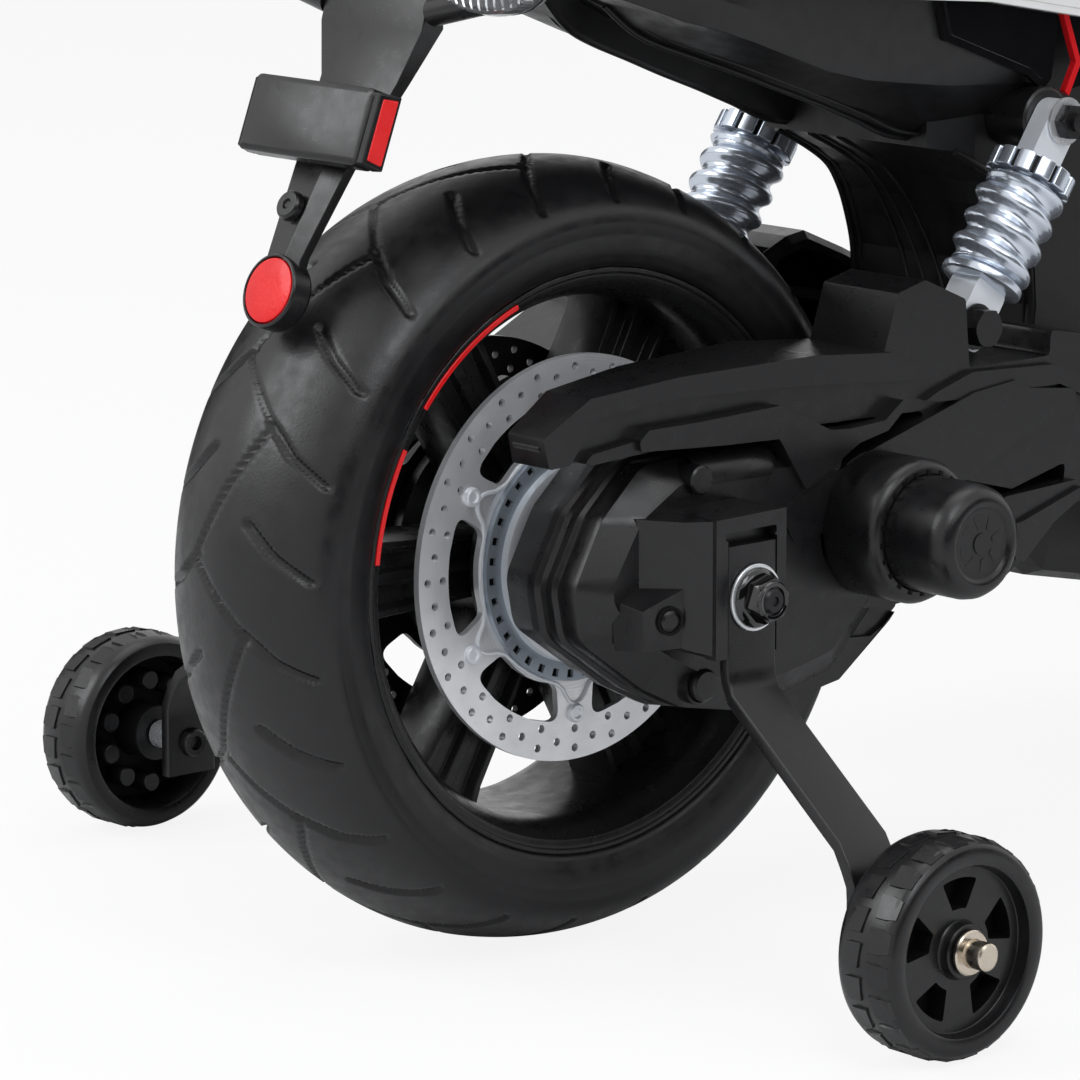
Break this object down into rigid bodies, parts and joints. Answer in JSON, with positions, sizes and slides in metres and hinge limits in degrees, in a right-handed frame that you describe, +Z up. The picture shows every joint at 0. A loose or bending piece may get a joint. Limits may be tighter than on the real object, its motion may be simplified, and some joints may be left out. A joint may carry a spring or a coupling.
{
  "type": "kids electric motorcycle",
  "caption": "Battery ride-on motorcycle for a small child: geared rear drive, steered front wheel, bolted-on stabiliser wheels, saddle, twin dummy shocks and accelerator pedal.",
  "frame": {"origin": "ground level, halfway along the machine's length, on its centre plane", "axes": "+X towards the front wheel, +Y to the rider's left, +Z up"},
  "size_m": [1.04, 0.5104, 0.6556],
  "materials": {
    "satin_black": "satin",
    "matte_black": "matt",
    "gloss_black": "gloss",
    "tyre_black": "satin rubber-like plastic",
    "brushed_steel": "turned",
    "black_steel": "blackened",
    "blued_steel": "dull",
    "chrome": "plated",
    "zinc": "bright zinc",
    "nickel": "bright",
    "reflector_red": "gloss",
    "body_white": "gloss",
    "body_red": "gloss",
    "clear_lens": "clear",
    "vinyl_black": "matt vinyl",
    "grip_rubber": "matt",
    "control_red": "satin",
    "control_grey": "satin",
    "case_grey": "matt"
  },
  "bodies": {
    "chassis": {"drive_housing": "satin_black", "motor_cover": "satin_black", "drive_motor": "zinc", "swingarm_right": "satin_black", "swingarm_left": "satin_black", "swingarm_pivot": "satin_black", "rear_axle": "zinc", "axle_nut_right": "black_steel", "axle_nut_left": "black_steel", "stabiliser_arm_right": "satin_black", "stabiliser_arm_left": "satin_black", "stabiliser_pin_right": "nickel", "stabiliser_pin_left": "nickel", "shock_right": "chrome", "shock_left": "chrome", "shock_spring_right": "chrome", "shock_spring_left": "chrome", "shock_collar_right": "chrome", "shock_collar_left": "chrome", "frame_body": "matte_black", "tail_cowl": "matte_black", "side_panel_right": "gloss_black", "side_panel_left": "gloss_black", "body_cover_right": "body_white", "body_cover_left": "body_white", "red_trim_right": "body_red", "red_trim_left": "body_red", "seat": "vinyl_black", "tank_cover": "body_white", "plate_arm": "satin_black", "plate_box": "satin_black", "rear_reflector": "reflector_red", "turn_signal_right": "satin_black", "turn_signal_left": "satin_black", "tail_light": "reflector_red", "foot_board_right": "matte_black", "foot_board_left": "matte_black", "battery": "case_grey", "controller": "case_grey"},
    "rear_wheel": {"rear_tyre": "tyre_black", "rear_rim": "satin_black", "brake_disc_right": "brushed_steel", "brake_disc_left": "black_steel", "sensor_ring": "blued_steel"},
    "steering": {"fork": "satin_black", "front_fender": "body_white", "headlight_shell": "body_red", "headlight_lens": "clear_lens", "windscreen": "clear_lens", "handlebar": "satin_black", "grip_right": "grip_rubber", "grip_left": "grip_rubber", "front_axle": "zinc"},
    "front_wheel": {"front_tyre": "tyre_black", "front_rim": "satin_black"},
    "right_stabiliser": {"stabiliser_wheel_right": "satin_black"},
    "left_stabiliser": {"stabiliser_wheel_left": "satin_black"},
    "pedal": {"foot_pedal": "satin_black"},
    "power": {"power_button": "control_red"},
    "direction": {"direction_switch": "control_grey"}
  },
  "joints": [
    {"name": "rear_wheel_spin", "type": "hinge", "parent": "chassis", "child": "rear_wheel", "pos_m": [-0.37, 0, 0.15], "axis": [0, 1, 0], "continuous": true},
    {"name": "steering_turn", "type": "hinge", "parent": "chassis", "child": "steering", "pos_m": [0.19074, 0, 0.46359], "axis": [-0.4226, 0, 0.9063], "range_deg": [-25, 25]},
    {"name": "front_wheel_spin", "type": "hinge", "parent": "steering", "child": "front_wheel", "pos_m": [0.37, 0, 0.15], "axis": [0, 1, 0], "continuous": true},
    {"name": "right_stabiliser_spin", "type": "hinge", "parent": "chassis", "child": "right_stabiliser", "pos_m": [-0.3773, -0.2321, 0.041], "axis": [0, 1, 0], "continuous": true},
    {"name": "left_stabiliser_spin", "type": "hinge", "parent": "chassis", "child": "left_stabiliser", "pos_m": [-0.3773, 0.2321, 0.041], "axis": [0, 1, 0], "continuous": true},
    {"name": "pedal_press", "type": "hinge", "parent": "chassis", "child": "pedal", "pos_m": [-0.025, -0.113, 0.142], "axis": [0, 1, 0], "range_deg": [0, 10], "stiffness_Nm_per_rad": 2, "springref_deg": -8.59},
    {"name": "power_button_press", "type": "slide", "parent": "chassis", "child": "power", "axis": [0, 0, -1], "range_m": [0, 0.002], "stiffness_N_per_m": 600, "springref_m": -0.002},
    {"name": "direction_switch_rock", "type": "hinge", "parent": "chassis", "child": "direction", "pos_m": [0.095, 0.03, 0.496], "axis": [0, 1, 0], "range_deg": [-8, 8]}
  ]
}
